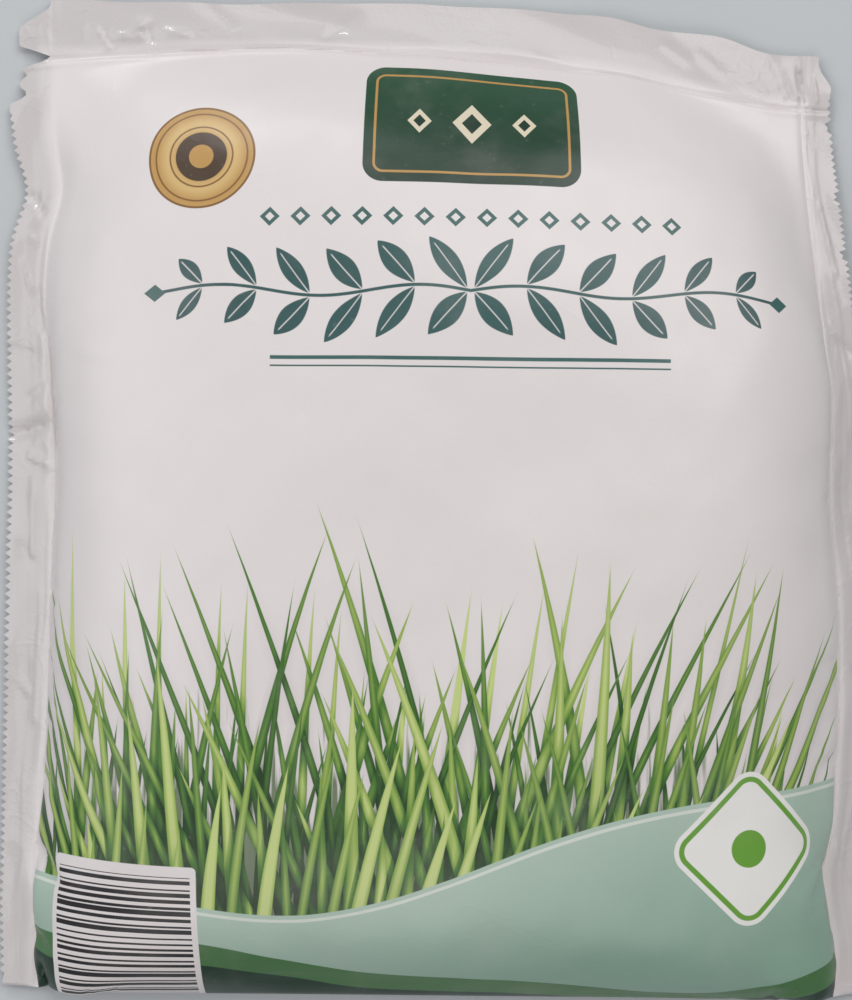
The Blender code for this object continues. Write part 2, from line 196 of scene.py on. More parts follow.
def seal_part(reach):
    """How far out on a side seal: 0 at its inner line, 1 at its cut edge."""
    return np.clip((reach - SEAL_X) / SIDE_SEAL, 0, 1)


def strip_part(r):
    """How far up the top strip: 0 at its crease, 1 at its cut edge."""
    return np.clip((r - SEAL_Y) / TOP_SEAL, 0, 1)


def drawn_in(s, r):
    """Where the flat film's point (s, r) goes in plan, once the filling has drawn it in."""
    reach = abs(s)
    inner = ease((reach - 30) / (SEAL_X - 30))
    outer = seal_part(reach)
    shift = 0
    for side, seal_table, edge_table in ((-1, LEFT_SEAL_SHIFT, LEFT_EDGE_SHIFT),
                                         (1, RIGHT_SEAL_SHIFT, RIGHT_EDGE_SHIFT)):
        at_seal = from_table(seal_table, r)
        at_edge = from_table(edge_table, r)
        shift = shift - side * (side * s > 0) * (at_seal * inner + (at_edge - at_seal) * outer)
    strip = strip_part(r)
    drop = from_table(CREASE_DROP, s) * (1 - strip) + from_table(TOP_DROP, s) * strip
    return s + shift, r - drop * ease((r - 20) / 60)


def smooth_noise(shape, steps, scale, seed):
    """Random waves on a grid, about as long as the scale, of unit height."""
    waves = np.fft.fft2(np.random.default_rng(seed).normal(size=shape))
    scale_x, scale_y = scale if isinstance(scale, tuple) else (scale, scale)
    along_x = np.fft.fftfreq(shape[0], steps[0])[:, None] * scale_x
    along_y = np.fft.fftfreq(shape[1], steps[1])[None, :] * scale_y
    waves *= np.exp(-(along_x ** 2 + along_y ** 2) * math.pi ** 2 / 2)
    waves = np.real(np.fft.ifft2(waves))
    return waves / waves.std()


# --- the film, filled and laid down -------------------------------------------------------------
class FilledFilm:
    """Two plies of film, welded along three sides and folded along the fourth, and filled.

    Each ply is a grid of points. Every step moves the points by the pressure of the filling and
    their weight, and then puts back the distances that the film keeps. Lengths are in
    millimetres, and forces are for a point of unit mass.
    """
    STEP = 1 / 400              # seconds
    LOOSE_HEIGHT = 9.0          # of the loose film above the table
    LOOSE_SWELL = 4.0           # how far each loose ply stands off their middle
    LOOSE_WAVES = 0.3
    FIRST_PLEATS = 0.8          # height of the pleats that the side seals start with
    STRETCHED = 0.01            # how much longer the cut edges have become
    PANEL_LIMPNESS = 300.0      # how weakly the film resists bending
    SEAL_LIMPNESS = 120.0       # and where its plies are welded
    PRESSED_FOLD = 0.88         # distance over a fold that is pressed in, against flat film
    HARD_BEND = 0.80            # bent to less than this share of it, the film keeps a crease
    CREASE_SPRING = 1.08        # how far a crease opens again
    CREASE_RATE = 0.1
    PRESSURE = 4.0              # to begin with, and then what the filling needs
    PRESSURE_GAIN = 0.2
    PRESSURE_LOSS = 0.25        # with each millimetre of height
    TOP_SLACK = 0.42            # share of the pressure that is missing at the top
    PUSH = 100.0                # of the pressure on the film
    WEIGHT = 500.0
    SHAKE = 950.0
    SHAKE_PACE = 0.21           # radians a step
    SHAKE_KINDS = 4
    PULL, LAST_PULL = 3000.0, 1500.0            # of the seals towards their places
    KEPT_SPEED, LAST_KEPT_SPEED = 0.985, 0.95
    TOP_SPEED = 500.0
    LEAST_GAP = 0.3             # between the two plies
    FRICTION = 0.2              # share of a slide that the table stops at each step

    # parts of the whole run
    SHAKEN_FROM, SHAKEN_FOR = 0.10, 0.35
    DRAWN_IN_BY = 0.35
    CALM_FROM = 0.6
    LAST_PULL_FROM = 0.8

    def __init__(self, cell, steps):
        self.steps = steps
        self.nx = int(round(FLAT_WIDTH / cell)) + 1
        self.ny = int(round(FLAT_LENGTH / cell)) + 1
        self.hx = FLAT_WIDTH / (self.nx - 1)
        self.hy = FLAT_LENGTH / (self.ny - 1)
        self.x, self.y = np.meshgrid(
            np.linspace(-FLAT_WIDTH / 2, FLAT_WIDTH / 2, self.nx),
            np.linspace(-FLAT_LENGTH / 2, FLAT_LENGTH / 2, self.ny), indexing="ij")
        self.side = int(round(FLAT_SIDE / self.hx))
        self.top = self.ny - 1 - int(round(FLAT_TOP / self.hy))
        self.panel = np.zeros((self.nx, self.ny), bool)
        self.panel[self.side + 1:self.nx - 1 - self.side, 1:self.top] = True
        self.in_seal = (abs(self.x) - FLAT_SEAL_X) / FLAT_SIDE
        self.plies = self.loose_plies()
        self.speed = np.zeros_like(self.plies)
        self.set_rest_lengths()
        self.target_x, self.target_y = self.laid_place()

    def noise(self, seed, scale):
        return smooth_noise((self.nx, self.ny), (self.hx, self.hy), scale, seed)

    def loose_plies(self):
        """The two plies just apart, with slight waves and the first pleats in the side seals."""
        plies = np.zeros((2, self.nx, self.ny, 3))
        plies[..., 0] = self.x
        plies[..., 1] = self.y
        across = np.clip(1 - (self.x / FLAT_SEAL_X) ** 2, 0, 1)
        along = np.clip(1 - ((self.y + FLAT_TOP / 2) / (FLAT_LENGTH / 2 - FLAT_TOP / 2)) ** 2, 0, 1)
        swell = self.LOOSE_SWELL * across * along * self.panel
        shared = self.noise(1, 12)
        own = np.where(self.panel, self.noise(2, 12), shared)
        plies[0, ..., 2] = self.LOOSE_HEIGHT + swell + self.LOOSE_WAVES * shared
        plies[1, ..., 2] = self.LOOSE_HEIGHT - swell + self.LOOSE_WAVES * own
        pleats = np.sin(self.in_seal * math.pi * 2 + 0.6 * self.noise(9, 30))
        pleats = np.where(self.in_seal > 0, pleats, 0)
        plies[..., 2] += self.FIRST_PLEATS * pleats * ease(self.in_seal * 3)
        middle = plies.mean(0)
        return np.where(self.panel[..., None], plies, middle)

    def set_rest_lengths(self):
        """Distances that the film keeps: to the next point, and over two cells against bending."""
        cut_edge = np.clip(self.in_seal, 0, 1)[:, 1:]
        stretched = 1 + self.STRETCHED * cut_edge * (1 + 0.5 * self.noise(5, 18)[:, 1:])
        self.rest_x = np.full((2, self.nx - 1, self.ny, 1), self.hx)
        self.rest_y = np.broadcast_to(self.hy * stretched, (2, self.nx, self.ny - 1))[..., None]
        self.bend_x = np.full((2, self.nx - 2, self.ny, 1), 2 * self.hx)
        self.bend_y = np.full((2, self.nx, self.ny - 2, 1), 2 * self.hy)
        self.bend_y[:, :, self.top - 1] *= self.PRESSED_FOLD
        half_seal = int(round(FLAT_SIDE / 2 / self.hx))
        for column in (self.side, half_seal):
            self.bend_x[:, column - 1] *= self.PRESSED_FOLD
            self.bend_x[:, self.nx - 2 - column] *= self.PRESSED_FOLD
        self.limpness = np.where(self.panel, self.PANEL_LIMPNESS, self.SEAL_LIMPNESS)

    def laid_place(self):
        """Where the seals lie in plan, once the filling has drawn the film in."""
        reach = abs(self.x)
        shrunk = np.where(reach < FLAT_SEAL_X, reach * SEAL_X / FLAT_SEAL_X,
                          SEAL_X + (reach - FLAT_SEAL_X) * SIDE_SEAL / FLAT_SIDE)
        return drawn_in(np.sign(self.x) * shrunk, self.y * LENGTH / FLAT_LENGTH)

    def hold(self, near, far, rest, softness):
        """Move two sets of points to the distance that they keep, and return what it was."""
        between = far - near
        length = np.sqrt(np.einsum("...k,...k", between, between))[..., None] + 1e-9
        shift = (length - rest) / length / (2 + softness) * between
        near += shift
        far -= shift
        return length

    def hold_bend(self, near, far, rest, softness, straight):
        """Keep the film from bending, and leave a crease where it was bent hard."""
        length = self.hold(near, far, rest, softness)
        creased = length < self.HARD_BEND * straight
        kept = np.minimum(length[creased] * self.CREASE_SPRING, rest[creased])
        rest[creased] += self.CREASE_RATE * (kept - rest[creased])

    def keep_shape(self):
        """Put back the distances that the film keeps, along its grid, across it and over two."""
        points = self.plies
        last_x, last_y = self.nx - 1, self.ny - 1
        for k in (0, 1):
            self.hold(points[:, k:last_x:2], points[:, k + 1:self.nx:2], self.rest_x[:, k::2], 0)
        for k in (0, 1):
            self.hold(points[:, :, k:last_y:2], points[:, :, k + 1:self.ny:2],
                      self.rest_y[:, :, k::2], 0)
        diagonal = math.hypot(self.hx, self.hy)
        for k in (0, 1):
            self.hold(points[:, k:last_x:2, :-1], points[:, k + 1:self.nx:2, 1:], diagonal, 0.3)
            self.hold(points[:, k:last_x:2, 1:], points[:, k + 1:self.nx:2, :-1], diagonal, 0.3)
        soft_x = self.limpness[1:-1][None, ..., None]
        soft_y = self.limpness[:, 1:-1][None, ..., None]
        for k in range(4):
            self.hold_bend(points[:, k:self.nx - 2:4], points[:, k + 2:self.nx:4],
                           self.bend_x[:, k::4], soft_x[:, k::4], 2 * self.hx)
            self.hold_bend(points[:, :, k:self.ny - 2:4], points[:, :, k + 2:self.ny:4],
                           self.bend_y[:, :, k::4], soft_y[:, :, k::4], 2 * self.hy)

    def areas(self, ply):
        """Area vector of the film at each point of a ply."""
        along_x = np.gradient(ply, axis=0)
        along_y = np.gradient(ply, axis=1)
        return np.cross(along_x, along_y)

    def volume(self, front, back):
        """What the film holds, from the area vectors of its plies."""
        columns = front[..., 2] * self.plies[0, ..., 2] + back[..., 2] * self.plies[1, ..., 2]
        return columns[1:-1, 1:-1].sum()

    def run(self):
        """Fill the bag, shake it, let it settle, and return the two plies."""
        pressure = self.PRESSURE
        slack_top = (1 - self.TOP_SLACK * np.clip((self.y - 5) / 70, 0, 1))[..., None]
        inside = self.panel[..., None] * self.PUSH
        shakes = self.rim_shakes()
        for count in range(self.steps):
            phase = count / self.steps
            front = self.areas(self.plies[0])
            back = -self.areas(self.plies[1])
            if count % 5 == 0:
                short = (FILLING - self.volume(front, back)) / FILLING
                pressure += self.PRESSURE_GAIN * np.clip(short, -1, 1)
            push = np.zeros_like(self.plies)
            for ply, area in ((0, front), (1, back)):
                held = pressure - self.PRESSURE_LOSS * self.plies[ply, ..., 2:]
                push[ply] = held * slack_top * area * inside
            push[..., 2] -= self.WEIGHT
            if self.SHAKEN_FROM < phase < self.SHAKEN_FROM + self.SHAKEN_FOR:
                passed = (phase - self.SHAKEN_FROM) / self.SHAKEN_FOR
                shake = shakes[int(passed * (self.SHAKE_KINDS - 0.01))]
                for axis in range(3):
                    push[..., axis] += self.SHAKE * math.sin(count * self.SHAKE_PACE) * shake[axis]
            self.pull_seals(push, phase)
            kept = self.KEPT_SPEED if phase < self.CALM_FROM else self.LAST_KEPT_SPEED
            self.speed = (self.speed + push * self.STEP) * kept
            before = self.plies.copy()
            self.plies += self.speed * self.STEP
            self.keep_shape()
            self.keep_shape()
            self.meet(before)
            self.speed = (self.plies - before) / self.STEP
            fast = np.sqrt((self.speed ** 2).sum(-1))[..., None]
            self.speed *= np.minimum(1, self.TOP_SPEED / (fast + 1e-9))
        return self.plies

    def rim_shakes(self):
        """Random pushes round the rim, one for each axis and kind of shake."""
        rim = np.clip((abs(self.x) - (FLAT_SEAL_X - FLAT_SIDE)) / (2 * FLAT_SIDE), 0, 1)
        rim = rim + 0.7 * np.clip((self.y - (FLAT_LENGTH / 2 - 2 * FLAT_TOP)) / (2 * FLAT_TOP), 0, 1)
        return [[rim * self.noise(20 * axis + k, 9) for axis in (1, 2, 3)]
                for k in range(self.SHAKE_KINDS)]

    def pull_seals(self, push, phase):
        """Draw the seals in towards their places in plan, as the filling does."""
        share = min(1, phase / self.DRAWN_IN_BY)
        pull = self.PULL if phase < self.LAST_PULL_FROM else self.LAST_PULL
        for axis, flat, laid in ((0, self.x, self.target_x), (1, self.y, self.target_y)):
            aim = flat + (laid - flat) * share
            push[..., axis] += pull * (aim - self.plies[..., axis]) * ~self.panel

    def meet(self, before):
        """Weld the seals, keep the plies apart, and keep the film on the table with friction."""
        middle = self.plies.mean(0)
        self.plies = np.where(self.panel[..., None], self.plies, middle)
        gap = self.plies[0, ..., 2] - self.plies[1, ..., 2]
        apart = 0.5 * (self.LEAST_GAP - gap) * (self.panel & (gap < self.LEAST_GAP))
        self.plies[0, ..., 2] += apart
        self.plies[1, ..., 2] -= apart
        low = self.plies[..., 2] < 0
        self.plies[..., 2][low] = 0
        for axis in (0, 1):
            slid = self.plies[..., axis] - before[..., axis]
            self.plies[..., axis][low] -= self.FRICTION * slid[low]


def smoothed(field, share):
    """One turn of smoothing: each point moves so much of the way to its neighbours' mean."""
    padded = np.pad(field, ((1, 1), (1, 1), (0, 0)), mode="edge")
    across = (padded[:-2, 1:-1] + padded[2:, 1:-1]) / 4 + field / 2
    padded = np.pad(across, ((0, 0), (1, 1), (0, 0)), mode="edge")
    both = (padded[:, :-2] + padded[:, 2:]) / 4 + across / 2
    return field + share * (both - field)


def calmed(film, plies):
    """Smooth the crumples: a little in the seals, and most in the flat corners at the top."""
    seals = np.where(film.panel, 0.0, SEAL_CALM)
    under_crease = CREASE_CALM * ease((film.y - 60) / 14)
    right = ease((film.x - 18) / 34) * ease((film.y - 18) / 34)
    left = ease((-film.x - 30) / 30) * ease((film.y - 30) / 30)
    share = np.maximum.reduce([seals, right, left, under_crease])[..., None]
    laid = np.stack([film.x, film.y, 0 * film.x], -1)
    middle = plies.mean(0) - laid
    apart = (plies[0] - plies[1]) / 2
    for _ in range(CALM_TURNS):
        middle = smoothed(middle, share)
        apart = smoothed(apart, share) * film.panel[..., None]
    return np.stack([laid + middle + apart, laid + middle - apart])


# --- the film's skin ----------------------------------------------------------------------------
def cubic_weights(part):
    """Weights of the four grid points round a place between the middle two."""
    return (((-part + 2) * part - 1) * part / 2, ((3 * part - 5) * part * part + 2) / 2,
            ((-3 * part + 4) * part + 1) * part / 2, (part - 1) * part * part / 2)


def sample(grid, a, b):
    """Values of a grid at fractional places, by smooth cubic curves."""
    a = np.clip(a, 0, grid.shape[0] - 1)
    b = np.clip(b, 0, grid.shape[1] - 1)
    low_a = np.minimum(a.astype(int), grid.shape[0] - 2)
    low_b = np.minimum(b.astype(int), grid.shape[1] - 2)
    total = 0
    for i, weight_a in enumerate(cubic_weights(a - low_a)):
        at_a = np.clip(low_a + i - 1, 0, grid.shape[0] - 1)
        for j, weight_b in enumerate(cubic_weights(b - low_b)):
            at_b = np.clip(low_b + j - 1, 0, grid.shape[1] - 1)
            weight = weight_a * weight_b
            total = total + grid[at_a, at_b] * (weight[..., None] if grid.ndim == 3 else weight)
    return total


class FilmNoise:
    """Random waves over the whole film, that can be read at any place on it."""
    STEP = 0.5

    def __init__(self, scale, seed):
        shape = (int(WIDTH / self.STEP) + 8, int(LENGTH / self.STEP) + 8)
        self.waves = smooth_noise(shape, (self.STEP, self.STEP), scale, seed)

    def at(self, s, r):
        return sample(self.waves, (s + HALF_WIDTH) / self.STEP + 3, (r + HALF_LENGTH) / self.STEP + 3)


def side_trim(side, r):
    """How much is worn or torn off the side seal at height r."""
    wear, nicks = (LEFT_WEAR, LEFT_NICKS) if side < 0 else (RIGHT_WEAR, RIGHT_NICKS)
    worn = sum(depth * ease((r - start) / length) for start, length, depth in wear)
    torn = sum(depth * peak(r, middle, half) ** sharp for middle, half, depth, sharp in nicks)
    return worn + torn


def tooth(side, r):
    """The zig-zag cut, which is worn off towards the top."""
    wave = 2 * abs(r / TOOTH_PITCH % 1 - 0.5)
    worn = ease((r - (LEFT_TEETH_END if side < 0 else RIGHT_TEETH_END)) / 6)
    return TOOTH_DEPTH * wave * (1 - worn)


def skin_columns():
    """Places across the skin as fractions: -2 to -1 on the left seal, -1 to 1 on the panel."""
    seal_cells, panel_cells, edge_cell = 17, 150, 0.12      # a tooth fits in the edge cell
    seal = np.append(np.linspace(0, 1 - edge_cell, seal_cells)[1:], 1.0)
    panel = np.linspace(-1, 1, panel_cells + 1)
    return np.concatenate([-1 - seal[::-1], panel, 1 + seal])


def skin_rows():
    """Heights along the skin: half a tooth apart, and closer at the crease of the top seal."""
    rows = np.arange(-HALF_LENGTH, HALF_LENGTH + 0.01, TOOTH_PITCH / 2)
    extra = [(low + high) / 2 for low, high in zip(rows, rows[1:]) if abs(low - SEAL_Y) < 2.6]
    return np.sort(np.concatenate([rows, extra]))


def film_places():
    """The flat coordinates of the skin's points, in the filled film's size: s across, r along."""
    columns = skin_columns()
    rows = skin_rows()
    s = np.zeros((len(columns), len(rows)))
    for i, place in enumerate(columns):
        if abs(place) <= 1:
            s[i] = place * SEAL_X
            continue
        side = 1 if place > 0 else -1
        width = SIDE_SEAL - side_trim(side, rows)
        if i in (0, len(columns) - 1):
            width = width - tooth(side, rows)
        s[i] = side * (SEAL_X + (abs(place) - 1) * np.maximum(width, LEAST_SEAL))
    r = np.broadcast_to(rows, s.shape)
    uneven = 0.25 + 0.25 * np.sin(s * 0.11) + 0.15 * np.sin(s * 0.31 + 1.0)
    return s, r - ease((r - SEAL_Y) / TOP_SEAL) * uneven        # the top edge isn't cut straight


def blurred(line, width):
    """A line of values, smoothed over so many points to each side."""
    kernel = np.exp(-(np.arange(-3 * width, 3 * width + 1) / width) ** 2)
    padded = np.pad(line, 3 * width, mode="edge")
    return np.convolve(padded, kernel / kernel.sum(), mode="valid")


def steer(front, back, s, r):
    """Shift the plies in plan, so that the seals and the cut edges lie where they are drawn to."""
    want_x, want_y = drawn_in(s, r)
    seam = {side: np.flatnonzero(np.isclose(s[:, 0], side * SEAL_X))[0] for side in (-1, 1)}
    inner = (np.minimum(abs(s), SEAL_X) / SEAL_X) ** 3
    outer = seal_part(abs(s))
    middle = (front + back) / 2
    for side, edge in ((-1, 0), (1, -1)):
        at_seal, at_edge = (blurred(want_x[i] - middle[i, :, 0], 6) for i in (seam[side], edge))
        shift = at_seal * (1 - outer) + at_edge * outer
        for ply in (front, back):
            ply[..., 0] += shift * inner * (side * s > 0)
    crease = int(np.argmin(abs(skin_rows() - SEAL_Y)))
    at_crease, at_top = (blurred(want_y[:, j] - middle[:, j, 1], 4) for j in (crease, -1))
    strip = strip_part(r)
    shift = (at_crease[:, None] * (1 - strip) + at_top[:, None] * strip) * ease((r - 20) / 60)
    for ply in (front, back):
        ply[..., 1] += shift


def surface_normals(points):
    """Unit normals of a grid of points."""
    normal = np.cross(np.gradient(points, axis=0), np.gradient(points, axis=1))
    return normal / (np.linalg.norm(normal, axis=-1, keepdims=True) + 1e-12)


def fold_line(s, r, start, end, height, width):
    """A straight fold that fades out at both ends."""
    along_s, along_r = end[0] - start[0], end[1] - start[1]
    length = math.hypot(along_s, along_r)
    part = ((s - start[0]) * along_s + (r - start[1]) * along_r) / length
    off = ((s - start[0]) * along_r - (r - start[1]) * along_s) / length
    fade = ease(part / width / 1.5 + 0.5) * ease((length - part) / width / 1.5 + 0.5)
    return height * fade * np.exp(-abs(off) / width - (off / width / 1.4) ** 2)


def lumps(s, r):
    """The lumps of the filling, felt through the front."""
    panel = ease((SEAL_X - abs(s)) / 6) * ease((SEAL_Y - r) / 8) * ease((r + HALF_LENGTH) / 6)
    return panel * sum(rise * FilmNoise(size, seed).at(s, r) for size, seed, rise in LUMPS)


def seal_folds(s, r, waver):
    """The side seals: crumpled facets, a long ridge, and a groove where the welding starts."""
    across = (abs(s) - SEAL_X) / SIDE_SEAL
    seal = ease(across * 4)
    facets = 1.0 - sum(rise * abs(FilmNoise(size, seed).at(s, r)) for size, seed, rise in FACETS)
    pulled = 1 - 0.85 * ease((r - 22) / 30) * (s < 0)      # the filling pulls this end smooth
    off_ridge = abs(across - 0.48 - 0.06 * waver) * SIDE_SEAL
    ridge = seal * np.exp(-off_ridge / 0.45) * (0.7 + 0.3 * waver)
    groove = np.exp(-((abs(s) - SEAL_X) / 0.45) ** 2)
    return seal * FACET_RISE * facets + pulled * (RIDGE_RISE * ridge - GROOVE_DEPTH * groove)


def strip_folds(s, r, waver):
    """The top strip: a sharp crease with a lip under it, and slanting folds above."""
    above = r - SEAL_Y - 0.25 * waver
    crease = CREASE_DEPTH * np.exp(-(above / 0.34) ** 2)
    lip = LIP_RISE * np.exp(-((above + 1.0) / 0.6) ** 2)
    plain = ease((r - SEAL_Y) / 1.5) * (1 - ease((abs(s) - SEAL_X) / SIDE_SEAL * 4))
    slanted = FilmNoise(9, 37).at(s * 0.7 + (r - SEAL_Y) * 1.5, r - 40)
    return lip - crease + plain * SLANT_RISE * slanted


def relief(s, r):
    """Height of the fine folds over the film."""
    waver = FilmNoise(16, 31).at(s, r)
    height = lumps(s, r) + seal_folds(s, r, waver) + strip_folds(s, r, waver)
    for start, end, rise, width in HANDLED_FOLDS:
        height += fold_line(s, r, start, end, rise, width)
    return height


def round_fold(front, back):
    """Round the fold, by smoothing the sheet round it from the front ply to the back ply."""
    reach = 4
    for _ in range(5):
        sheet = np.concatenate([front[:, reach:0:-1], front[:, :1], back[:, 1:reach + 1]], axis=1)
        sheet[:, 1:-1] = sheet[:, 1:-1] / 2 + (sheet[:, :-2] + sheet[:, 2:]) / 4
        front[:, :reach + 1] = sheet[:, reach::-1]
        back[:, :reach + 1] = sheet[:, reach:]


def skin_surfaces(plies, solver):
    """The outer faces of the front and back of the film, at every point of the skin."""
    s, r = film_places()
    reach = abs(s)
    flat_reach = np.where(reach < SEAL_X, reach * FLAT_SEAL_X / SEAL_X,
                          FLAT_SEAL_X + (reach - SEAL_X) * FLAT_SIDE / SIDE_SEAL)
    a = (np.sign(s) * flat_reach + FLAT_WIDTH / 2) / solver.hx
    b = (r * FLAT_LENGTH / LENGTH + FLAT_LENGTH / 2) / solver.hy
    front = sample(plies[0], a, b)
    back = sample(plies[1], a, b)
    steer(front, back, s, r)
    round_fold(front, back)
    height = relief(s, r)[..., None]
    up = surface_normals(front)
    down = -surface_normals(back)
    for normals in (up, down):
        normals[:2] = normals[2]        # the cut edges zig-zag, so they take the next normals in
        normals[-2:] = normals[-3]
    # near the seals both plies follow the same folds, so that they never cross
    inside = np.minimum(SEAL_X - reach, SEAL_Y - r)[..., None]
    together = 1 - ease(inside / 5)
    front_face = front + up * (PLY + height)
    back_face = back + down * PLY * ease(inside + 0.5) - up * PLY * (1 - ease(inside + 0.5))
    back_face += up * height * together
    fold = (front[:, :1] + back[:, :1]) / 2
    fold[..., 1] -= PLY
    front_face[:, :1] = fold
    back_face[:, :1] = fold
    return s, r, front_face, back_face


def fit_to_bag(*surfaces):
    """Move and stretch the surfaces a little, so that together they fill the bag's own box."""
    points = np.concatenate([surface.reshape(-1, 3) for surface in surfaces])
    low, high = points.min(0), points.max(0)
    scale = (bag_high - bag_low) / (high - low)
    return [(surface - low) * scale + bag_low for surface in surfaces]


def skin_faces(columns, rows):
    """Faces of the closed skin: both plies, and the strip round the three cut edges."""
    front = np.arange(columns * rows).reshape(columns, rows)
    back = front + columns * rows
    back[:, 0] = front[:, 0]
    quads = [np.stack([front[:-1, :-1], front[1:, :-1], front[1:, 1:], front[:-1, 1:]], -1),
             np.stack([back[:-1, :-1], back[:-1, 1:], back[1:, 1:], back[1:, :-1]], -1)]
    faces = [quad.reshape(-1, 4) for quad in quads]
    for line, flip in ((0, False), (-1, True)):
        edge = np.stack([front[line, :-1], front[line, 1:], back[line, 1:], back[line, :-1]], -1)
        faces.append(edge[:, ::-1] if flip else edge)
    top = np.stack([front[:-1, -1], front[1:, -1], back[1:, -1], back[:-1, -1]], -1)
    faces.append(top)
    return np.concatenate(faces)


def region_of_faces(s, r, count):
    """Which finish each face has: 0 seals, 1 upper front, 2 lower front, 3 back."""
    middle_s = abs(s[:-1, :-1] + s[1:, :-1]) / 2
    middle_r = (r[:-1, :-1] + r[:-1, 1:]) / 2
    printed = (middle_s < SEAL_X) & (middle_r < SEAL_Y)
    front = np.where(printed, np.where(middle_r > GRASS_TOP, 1, 2), 0)
    back = np.where(printed, 3, 0)
    region = np.concatenate([front.ravel(), back.ravel()])
    return np.concatenate([region, np.zeros(count - len(region), int)])


def film_mesh(s, r, front, back, finishes):
    """The closed skin's mesh, with its flat coordinates as a UV map and a finish for each face."""
    columns, rows = s.shape
    points = np.concatenate([front.reshape(-1, 3), back.reshape(-1, 3)]) * MM
    flat = np.concatenate([np.stack([s, r], -1).reshape(-1, 2),
                           np.stack([s, -LENGTH - r], -1).reshape(-1, 2)])
    faces = skin_faces(columns, rows)
    quads = [[k for n, k in enumerate(face) if k != face[n - 1]] for face in faces.tolist()]
    mesh = bpy.data.meshes.new("film_skin")
    mesh.from_pydata(points.tolist(), [], quads)
    layer = mesh.uv_layers.new(name="film")
    corners = np.zeros(len(mesh.loops), np.int32)
    mesh.loops.foreach_get("vertex_index", corners)
    layer.uv.foreach_set("vector", flat[corners].astype(np.float32).ravel())
    for finish in finishes:
        mesh.materials.append(finish)
    mesh.polygons.foreach_set("material_index", region_of_faces(s, r, len(quads)))
    mesh.shade_smooth()
    mesh.set_sharp_from_angle(angle=math.radians(60))
    return mesh


def make_film_skin(finishes):
    """The whole web of film as one closed skin, with a finish for each region."""
    cell, steps = ((1.3, 1200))
    solver = FilledFilm(cell, steps)
    s, r, front, back = skin_surfaces(calmed(solver, solver.run()), solver)
    front, back = fit_to_bag(front, back)
    back[..., 2] = np.maximum(back[..., 2], bag_low[2])
    mesh = film_mesh(s, r, front, back, finishes)
    drop_loose_points(mesh)
    return add_object("film_skin", mesh)


def drop_loose_points(mesh):
    """Remove points that no face uses, and turn all faces outwards."""
    work = bmesh.new()
    work.from_mesh(mesh)
    bmesh.ops.delete(work, geom=[v for v in work.verts if not v.link_faces], context="VERTS")
    bmesh.ops.recalc_face_normals(work, faces=work.faces)
    work.to_mesh(mesh)
    work.free()


# --- shader node helpers ------------------------------------------------------------------------
def node_sum(operation):
    """A method of Value that does a sum with one maths node."""
    return lambda self, *others: self.graph.maths(operation, self, *others)


class Value:
    """A number or colour that changes over the surface, with the sums that nodes can do on it."""

    def __init__(self, graph, socket):
        self.graph = graph
        self.socket = socket

    __add__ = __radd__ = node_sum("ADD")
    __sub__ = node_sum("SUBTRACT")
    __mul__ = __rmul__ = node_sum("MULTIPLY")
    __truediv__ = node_sum("DIVIDE")
    __abs__ = node_sum("ABSOLUTE")
    least = node_sum("MINIMUM")
    most = node_sum("MAXIMUM")
    power = node_sum("POWER")
    sine = node_sum("SINE")
    floor = node_sum("FLOOR")
    times_plus = node_sum("MULTIPLY_ADD")

    def __neg__(self):
        return self * -1.0

    def __rsub__(self, other):
        return self.graph.maths("SUBTRACT", other, self)

    def clamped(self):
        return self.graph.clamp(self)

    def ramp(self, low, high):
        """Straight step from 0 at low to 1 at high."""
        return self.graph.map_range(self, low, high, "LINEAR")

    def step(self, low, high):
        """Smooth step from 0 at low to 1 at high."""
        return self.graph.map_range(self, low, high, "SMOOTHSTEP")

    def below(self, limit, soft):
        """1 where the value is below the limit, 0 above it, with a soft edge."""
        return self.ramp(limit + soft / 2, limit - soft / 2)


